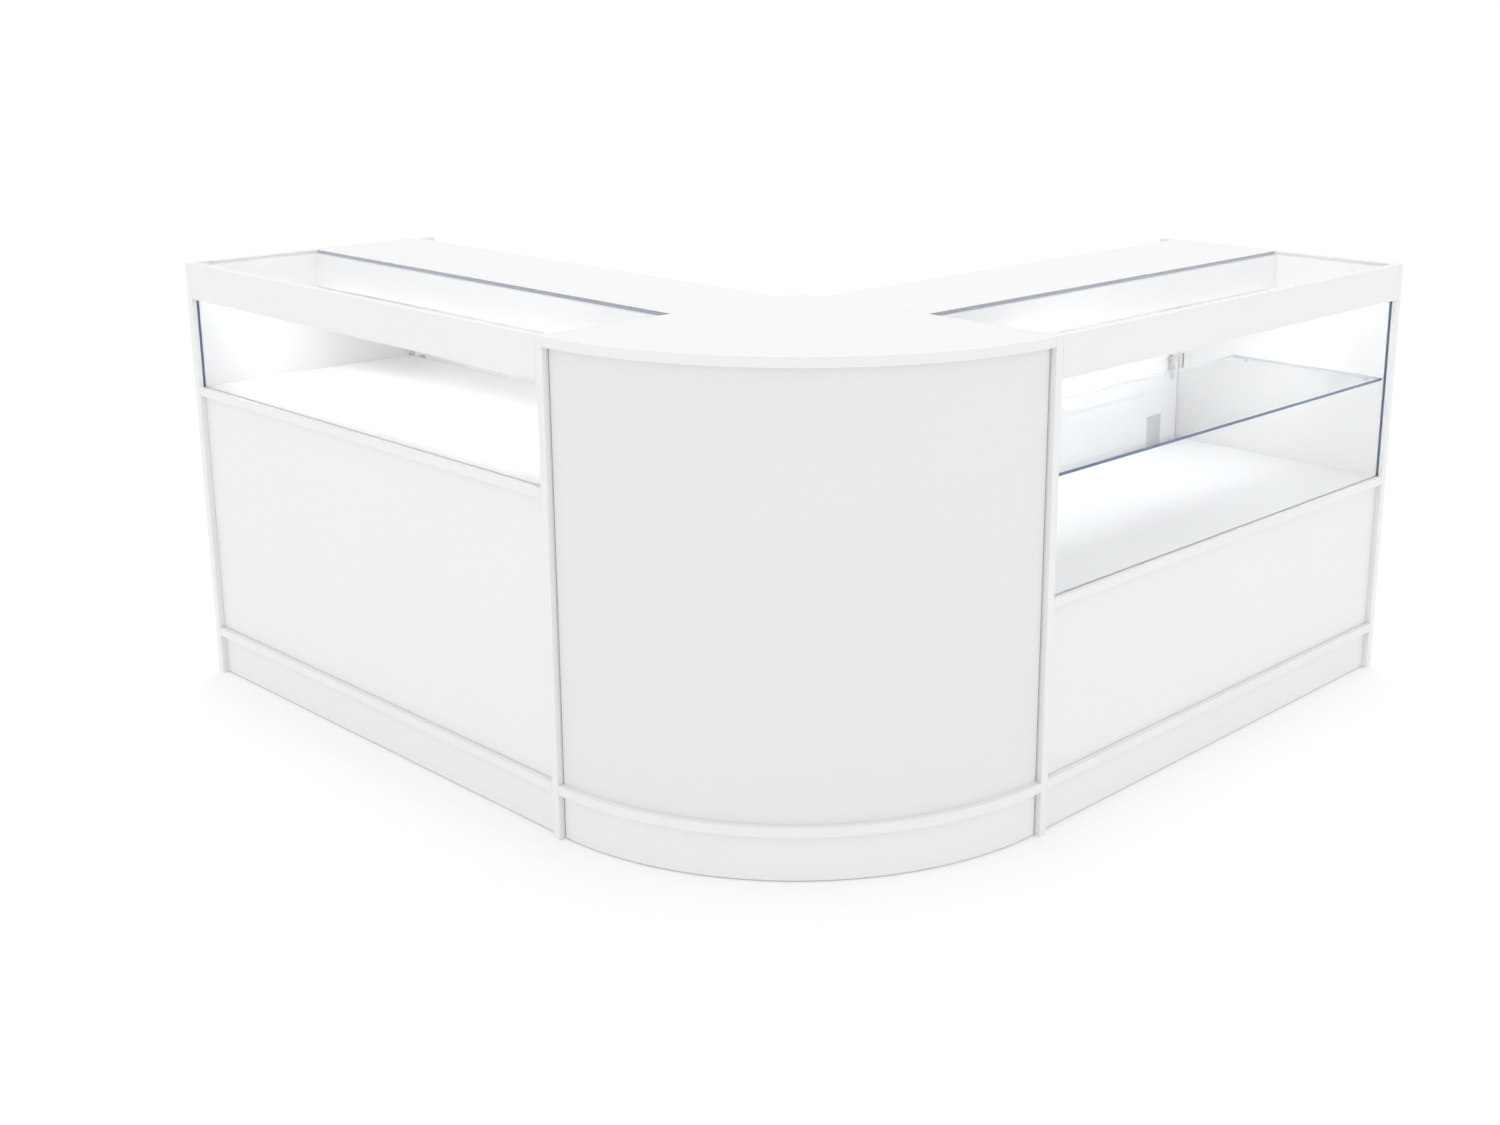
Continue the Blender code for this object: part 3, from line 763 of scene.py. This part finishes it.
def join_rings(bm, rings, material):
    """Joins each ring of vertices to the next. A ring of one vertex is a point."""
    for first, second in zip(rings, rings[1:]):
        count = max(len(first), len(second))
        for step in range(count):
            following = (step + 1) % count
            corners = [
                first[step % len(first)],
                first[following % len(first)],
                second[following % len(second)],
                second[step % len(second)],
            ]
            face = bm.faces.new(list(dict.fromkeys(corners)))
            face.material_index = material


def add_capped(bm, outlines):
    """Adds a closed shape through outlines of equal length, with its two ends filled."""
    rings = [[bm.verts.new(point) for point in outline] for outline in outlines]
    join_rings(bm, rings, 0)
    bm.faces.new(rings[0])
    bm.faces.new(rings[-1])


def half_turns(steps):
    """The angles that part half a turn into equal steps."""
    return [math.pi * step / steps for step in range(steps + 1)]


def hexagon(across_flats):
    """The radius of a hexagon as a function of the turn."""
    third = math.pi / 3
    return lambda turn: across_flats / 2 / math.cos(turn % third - third / 2)


def rounded_rectangle(width, height, radius, steps=8):
    """The outline of a rectangle with rounded corners, each in the given number of steps."""
    points = []
    for quarter, (right, up) in enumerate(((1, 1), (-1, 1), (-1, -1), (1, -1))):
        for step in range(steps + 1):
            turn = math.pi / 2 * (quarter + step / steps)
            across = right * (width / 2 - radius) + radius * math.cos(turn)
            points.append((across, up * (height / 2 - radius) + radius * math.sin(turn)))
    return points


# ---------------------------------------------------------------- fittings


def add_extrusion(node, metal):
    """An aluminium section with its long edges eased."""
    low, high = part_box(node)
    long_axis = max(range(3), key=lambda axis: high[axis] - low[axis])
    bm = mesh_of(node)
    long_edges = [
        edge
        for edge in bm.edges
        if abs((edge.verts[1].co - edge.verts[0].co).normalized()[long_axis]) > PARALLEL
        and edge.calc_face_angle() > CORNER_ANGLE
    ]
    round_edges(bm, long_edges, METAL_RADIUS, METAL_STEPS)
    return make_piece(bm, f"{node}_section", (metal,), [node])


def add_diffuser(wing):
    """The opal lens in the mouth of the light channel, bowed a little on its underside."""
    lengths, depths, heights = wing.box("light_diffuser")
    half = (depths[1] - depths[0]) / 2
    rise = LENS_BOW * (heights[1] - heights[0])
    turns = half_turns(LENS_STEPS)
    bow = [
        (middle(depths) - half * math.cos(turn), heights[0] + rise * (1 - math.sin(turn)))
        for turn in turns
    ]
    outline = [(depths[0], heights[1])] + bow + [(depths[1], heights[1])]
    bm = bmesh.new()
    add_capped(bm, [[(length, *point) for point in outline] for length in lengths])
    name = f"{wing.name}_light_diffuser"
    make_piece(bm, f"{name}_lens", ("opal",), [name], place=wing.place)


def add_pull(wing, door):
    """A moulded flush pull: a rounded lip on the door's face, and a drafted pocket for the fingers."""
    node = f"{door}_door_pull"
    lengths, depths, heights = wing.box(node)
    lip = (lengths[1] - lengths[0], heights[1] - heights[0])
    body = [side - 2 * (PULL_LIP + GAP) for side in lip]
    front, rear = depths
    lip_front = rear - PULL_LIP_THICKNESS
    ease = PULL_LIP_THICKNESS / 3

    def ring(size, less, radius, depth):
        outline = rounded_rectangle(size[0] - 2 * less, size[1] - 2 * less, radius)
        return [(middle(lengths) + across, depth, middle(heights) + up) for across, up in outline]

    floor = front + PULL_FLOOR
    pocket = PULL_WALL
    deep = pocket + PULL_DRAFT
    curve = PULL_CURVE * PULL_FILLET
    outlines = [
        ring(body, ease, PULL_CORNER, front),
        ring(body, 0, PULL_CORNER, front + ease),
        ring(body, 0, PULL_CORNER, lip_front),
        ring(lip, 0, PULL_LIP_RADIUS, lip_front),
        ring(lip, 0, PULL_LIP_RADIUS, rear - ease),
        ring(lip, ease / 3, PULL_LIP_RADIUS, rear - ease / 3),
        ring(lip, ease, PULL_LIP_RADIUS, rear),
        ring(body, pocket - ease, PULL_POCKET_RADIUS, rear),
        ring(body, pocket, PULL_POCKET_RADIUS, rear - ease),
        ring(body, deep, PULL_POCKET_RADIUS, floor + PULL_FILLET),
        ring(body, deep + curve, PULL_POCKET_RADIUS, floor + curve),
        ring(body, deep + PULL_FILLET, PULL_POCKET_RADIUS, floor),
    ]
    bm = bmesh.new()
    add_capped(bm, outlines)
    name = f"{wing.name}_{node}"
    # the moulding takes the mid grey, painted shade of its pocket
    make_piece(bm, f"{name}_moulding", ("plastic",), [name], place=wing.place)


def apply_cut(piece, cutter_bm):
    """Cuts a recess into a piece's own mesh. The piece's other modifiers stay unapplied."""
    mesh = bpy.data.meshes.new("recess")
    bmesh.ops.recalc_face_normals(cutter_bm, faces=cutter_bm.faces)
    cutter_bm.to_mesh(mesh)
    cutter_bm.free()
    cutter = bpy.data.objects.new("recess", mesh)
    bpy.context.scene.collection.objects.link(cutter)
    others = list(piece.modifiers)
    for other in others:
        other.show_viewport = False
    modifier = piece.modifiers.new("recess", "BOOLEAN")
    modifier.operation = "DIFFERENCE"
    modifier.object = cutter
    depsgraph = bpy.context.evaluated_depsgraph_get()
    depsgraph.update()
    piece.data = bpy.data.meshes.new_from_object(piece.evaluated_get(depsgraph))
    piece.modifiers.remove(modifier)
    for other in others:
        other.show_viewport = True
    bpy.data.objects.remove(cutter)


def lock_sleeve(front, nut_front, flange_front, flange_rear, flange):
    """The profile of the sleeve: threads up to the nut, the shank, and the flange at the rear."""
    thread = [
        (LOCK_SLEEVE - THREAD_DEPTH * (turn % 2), front + THREAD_PITCH / 2 * turn)
        for turn in range(1, THREADS + 1)
    ]
    bevel, bevel_height = FLANGE_BEVEL
    straight = FLANGE_STRAIGHT * (flange_rear - flange_front)
    return [
        (LOCK_BORE, front),
        (LOCK_SLEEVE - THREAD_DEPTH, front),
        *thread,
        (LOCK_SLEEVE, nut_front),
        (LOCK_SLEEVE, flange_front),
        (flange, flange_front),
        (flange, flange_front + straight),
        (flange - bevel, flange_rear - bevel_height),
        (flange - FLANGE_LAND, flange_rear),
        (LOCK_BORE + LOCK_EASE, flange_rear),
        (LOCK_BORE, flange_rear - LOCK_EASE),
    ]


def lock_nut(front, rear, corner_radius):
    """The profile of a hexagon nut, chamfered on both faces."""
    flats = hexagon(corner_radius * math.sqrt(3))
    rim = NUT_RIM * corner_radius * math.sqrt(3) / 2

    def chamfered(turn):
        return min(flats(turn), rim)

    bore = LOCK_SLEEVE + FITTING_GAP
    return [
        (bore, front),
        (chamfered, front),
        (flats, front + NUT_CHAMFER),
        (flats, rear - NUT_CHAMFER),
        (chamfered, rear),
        (bore, rear),
    ]


def add_lock(wing):
    """A cam lock: a flanged, threaded sleeve with its nut, the barrel, and the cam."""
    lengths, depths, heights = wing.box("lock_body")
    sleeve_front, flange_rear = depths
    flange = (lengths[1] - lengths[0]) / 2
    door_front, door_rear = wing.box("outer_door")[1]

    def along_depth(along, across, up):
        return (middle(lengths) + across, along, middle(heights) + up)

    nut_rear = door_front - GAP
    nut_front = nut_rear - NUT_THICKNESS
    flange_front = door_rear + GAP
    sleeve = lock_sleeve(sleeve_front, nut_front, flange_front, flange_rear, flange)
    bm = bmesh.new()
    add_turned(bm, sleeve, along_depth, closed=True)
    add_turned(bm, lock_nut(nut_front, nut_rear, flange), along_depth, closed=True)
    node = f"{wing.name}_lock_body"
    make_piece(bm, f"{node}_fitting", ("chrome",), [node], place=wing.place)

    tip = wing.box("lock_barrel")[1][0]
    cam_front = tip + SCREW_HEAD
    add_lock_barrel(wing, along_depth, cam_front + CAM_THICKNESS, flange_rear)
    add_cam(wing, along_depth, tip, cam_front)


def add_lock_barrel(wing, along_depth, cam_rear, flange_rear):
    """The barrel that turns in the sleeve, with the key slot in its rear face."""
    front = cam_rear + CAM_CLEARANCE
    barrel = [
        (0, front),
        (LOCK_BARREL, front),
        (LOCK_BARREL, flange_rear - LOCK_EASE),
        (LOCK_BARREL - LOCK_EASE, flange_rear),
        (0, flange_rear),
    ]
    bm = bmesh.new()
    add_turned(bm, barrel, along_depth)
    node = f"{wing.name}_lock_barrel"
    piece = make_piece(bm, f"{node}_fitting", ("chrome",), [node], place=wing.place)

    width, height, depth = KEY_SLOT
    outline = rounded_rectangle(width, height, KEY_SLOT_ROUNDING * width, KEY_SLOT_STEPS)
    outlines = [
        [wing.place(*along_depth(along, *point)) for point in outline]
        for along in (flange_rear - depth, flange_rear + depth)
    ]
    slot = bmesh.new()
    add_capped(slot, outlines)
    apply_cut(piece, slot)


def add_cam(wing, along_depth, tip, front):
    """The cam on the barrel's front end, hanging down at rest, and the screw that holds it."""
    rear = front + CAM_THICKNESS
    half = CAM_WIDTH / 2
    reach = CAM_REACH - half
    turns = half_turns(HALF_STEPS)
    head = [(LOCK_SLEEVE * math.cos(turn), LOCK_SLEEVE * math.sin(turn)) for turn in turns]
    shoulder = -math.sqrt(LOCK_SLEEVE**2 - half**2)
    end = [(-half * math.cos(turn), -reach - half * math.sin(turn)) for turn in turns]
    outline = [*head, (-half, shoulder), *end, (half, shoulder)]
    bm = bmesh.new()
    add_capped(bm, [[along_depth(along, *point) for point in outline] for along in (front, rear)])
    bmesh.ops.recalc_face_normals(bm, faces=bm.faces)
    sharp = [edge for edge in bm.edges if edge.calc_face_angle() > CAM_CORNER_ANGLE]
    round_edges(bm, sharp, METAL_RADIUS, METAL_STEPS)

    flats = hexagon(SCREW_HEXAGON)
    socket = hexagon(SCREW_SOCKET)
    screw = [
        (0, tip + SCREW_SOCKET_DEPTH),
        (socket, tip + SCREW_SOCKET_DEPTH),
        (socket, tip),
        (SCREW_FACE, tip),
        (flats, tip + SCREW_CHAMFER),
        (flats, front - FITTING_GAP),
        (0, front - FITTING_GAP),
    ]
    add_turned(bm, screw, along_depth)
    body = frame["nodes"][f"{wing.name}_lock_barrel"]["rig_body"]
    make_piece(bm, f"{wing.name}_lock_cam", ("chrome",), body=body, place=wing.place)


def add_shelf_pin(wing, side, row, face, inwards):
    """A plated pin in a gable's face, with a collar, and a clear sleeve that the glass rests on."""
    name = f"{wing.name}_shelf_pin_{side}_{row}"
    lengths, depths, heights = wing.box(f"shelf_pin_{side}_{row}")
    radius = (heights[1] - heights[0]) / 2
    reach = (lengths[1] - lengths[0]) / 2

    def along_length(along, across, up):
        return (face + inwards * along, middle(depths) + across, middle(heights) + up)

    pin = [
        (0, -reach),
        (radius, -reach + PIN_CHAMFER),
        (radius, 0.0),
        (PIN_COLLAR * radius, 0.0),
        (PIN_COLLAR * radius, PIN_COLLAR_RIM),
        (PIN_COLLAR_TOP * radius, PIN_COLLAR_THICKNESS),
        (radius, PIN_COLLAR_THICKNESS),
        (radius, reach - PIN_TIP_CHAMFER),
        (radius - PIN_TIP_CHAMFER, reach),
        (0, reach),
    ]
    sleeve = [
        (radius + SLEEVE_INSIDE, SLEEVE_INSET),
        (radius + SLEEVE_OUTSIDE, SLEEVE_INSET),
        (radius + SLEEVE_OUTSIDE, reach - SLEEVE_INSET),
        (radius + SLEEVE_INSIDE, reach - SLEEVE_INSET),
    ]
    bm = bmesh.new()
    add_turned(bm, pin, along_length)
    add_turned(bm, sleeve, along_length, material=1, closed=True)
    make_piece(bm, f"{name}_fitting", ("chrome", "sleeve"), [name], place=wing.place)


def add_shelf_pins(wing):
    inner_face = wing.box("inner_gable")[0][1]
    outer_face = wing.box("outer_gable")[0][0]
    for side, face, inwards in (("inner", inner_face, 1), ("outer", outer_face, -1)):
        for row in ("front", "rear"):
            add_shelf_pin(wing, side, row, face, inwards)


def add_connector_bolt(wing):
    """A joint-connector bolt: two domed heads with hexagon sockets."""
    lengths, depths, heights = wing.box("connector_bolt")
    head = (heights[1] - heights[0]) / 2
    socket = hexagon(BOLT_SOCKET)

    def along_length(along, across, up):
        return (along, middle(depths) + across, middle(heights) + up)

    def half(face, inwards):
        return [
            (0, face + inwards * BOLT_SOCKET_DEPTH),
            (socket, face + inwards * BOLT_SOCKET_DEPTH),
            (socket, face),
            *[(share * head, face + inwards * depth) for share, depth in BOLT_DOME],
            (head, face + inwards * BOLT_HEAD_THICKNESS),
            (BOLT_RADIUS, face + inwards * BOLT_HEAD_THICKNESS),
        ]

    bm = bmesh.new()
    add_turned(bm, half(lengths[0], 1) + half(lengths[1], -1)[::-1], along_length)
    node = f"{wing.name}_connector_bolt"
    make_piece(bm, f"{node}_fitting", ("steel",), [node], place=wing.place)


# ---------------------------------------------------------------- room, light and camera


def add_floor():
    """A pale floor that runs to the horizon."""
    bm = bmesh.new()
    bmesh.ops.create_circle(bm, cap_ends=True, segments=FLOOR_STEPS, radius=FLOOR_RADIUS)
    mesh = bpy.data.meshes.new("studio_floor")
    bm.to_mesh(mesh)
    bm.free()
    shader = Shader("studio_floor")
    drift = shader.noise(0.6, detail=2.0)
    shader.set(Base_Color=shader.blend(drift, (0.93, 0.93, 0.93), (0.95, 0.95, 0.95)))
    shader.set(Emission_Color=(1.0, 1.0, 1.0), Emission_Strength=FLOOR_GLOW)
    shader.set(Roughness=shader.spread(drift, 0.75, 0.85))
    mesh.materials.append(shader.material)
    floor = bpy.data.objects.new("studio_floor", mesh)
    bpy.context.scene.collection.objects.link(floor)


def add_softbox(name, place, target, size, power, spread=math.pi):
    """A rectangular lamp that faces its target. spread is how wide its light opens."""
    light = bpy.data.lights.new(name, "AREA")
    light.shape = "RECTANGLE"
    light.size, light.size_y = size
    light.spread = spread
    light.energy = power
    softbox = bpy.data.objects.new(name, light)
    softbox.location = place
    direction = Vector(target) - Vector(place)
    softbox.rotation_euler = direction.to_track_quat("-Z", "Y").to_euler()
    softbox.visible_camera = False
    bpy.context.scene.collection.objects.link(softbox)


def add_strip_beam(wing):
    """The beam of a light strip, which lands across the deck, on the doors' side of the strip."""
    lengths, depths, heights = wing.box("light_diffuser")
    deck_depths, deck_heights = wing.box("display_deck")[1:]
    strip = wing.place(middle(lengths), middle(depths) + BEAM_OFFSET, heights[0] - BEAM_OFFSET)
    reach = BEAM_REACH[wing.name] * (deck_depths[1] - depths[1])
    target = wing.place(middle(lengths), depths[1] + reach, deck_heights[1])
    size = (BEAM_SHARE * (lengths[1] - lengths[0]), depths[1] - depths[0])
    power, spread = BEAM_POWER[wing.name], BEAM_SPREAD[wing.name]
    add_softbox(f"{wing.name}_strip_beam", strip, target, size, power, spread)


def add_case_fill(wing):
    """A narrow lamp under the near end of the top glass, which lights the far gable."""
    lengths, depths, heights = wing.box("light_diffuser")
    deck = wing.box("display_deck")[2][1]
    case_depths = (depths[1], wing.box("top_glass")[1][1])
    size = ((case_depths[1] - case_depths[0]) / 2, FILL_HEIGHT)
    lamp = wing.place(lengths[0] + FILL_INSET, middle(case_depths), heights[0] - FILL_HEIGHT)
    target = wing.place(lengths[1], case_depths[1], middle((deck, heights[0])))
    add_softbox(f"{wing.name}_case_fill", lamp, target, size, FILL_POWER[wing.name], FILL_SPREAD)


def add_world():
    """Plain white surroundings."""
    world = bpy.data.worlds.new("studio")
    world.use_nodes = True
    background = world.node_tree.nodes["Background"]
    background.inputs["Color"].default_value = (1.0, 1.0, 1.0, 1.0)
    background.inputs["Strength"].default_value = WORLD_GLOW
    bpy.context.scene.world = world


def add_camera():
    forward = Vector(
        (
            math.cos(CAMERA_YAW) * math.cos(CAMERA_PITCH),
            math.sin(CAMERA_YAW) * math.cos(CAMERA_PITCH),
            math.sin(CAMERA_PITCH),
        )
    )
    right = forward.cross(Vector((0, 0, 1))).normalized()
    up = right.cross(forward)
    roll = Matrix.Rotation(CAMERA_ROLL, 3, "Z")
    upright = Matrix((right, up, -forward)).transposed()
    data = bpy.data.cameras.new("camera")
    data.lens = CAMERA_LENS
    data.shift_x, data.shift_y = CAMERA_SHIFT
    data.clip_end = CAMERA_FAR
    camera = bpy.data.objects.new("camera", data)
    camera.matrix_world = Matrix.Translation(CAMERA_PLACE) @ (upright @ roll).to_4x4()
    bpy.context.scene.collection.objects.link(camera)
    bpy.context.scene.camera = camera


# ---------------------------------------------------------------- the whole


def main():
    for wing in WINGS:
        add_wing_boards(wing)
        add_extrusion(f"{wing.name}_light_channel", wing.metal)
        add_extrusion(f"{wing.name}_lower_track", wing.metal)
        add_extrusion(f"{wing.name}_upper_track", wing.metal)
        add_diffuser(wing)
        add_pull(wing, "outer")
        add_pull(wing, "inner")
        add_lock(wing)
        add_connector_bolt(wing)
    add_board("left_storage_shelf")
    add_corner_unit()
    add_glass()
    add_shelf_pins(WINGS[1])
    add_floor()
    add_world()
    for name, settings in SOFTBOXES.items():
        add_softbox(name, *settings)
    for wing in WINGS:
        add_strip_beam(wing)
        add_case_fill(wing)
    add_camera()
    bpy.context.scene.view_settings.view_transform = "Standard"


main()
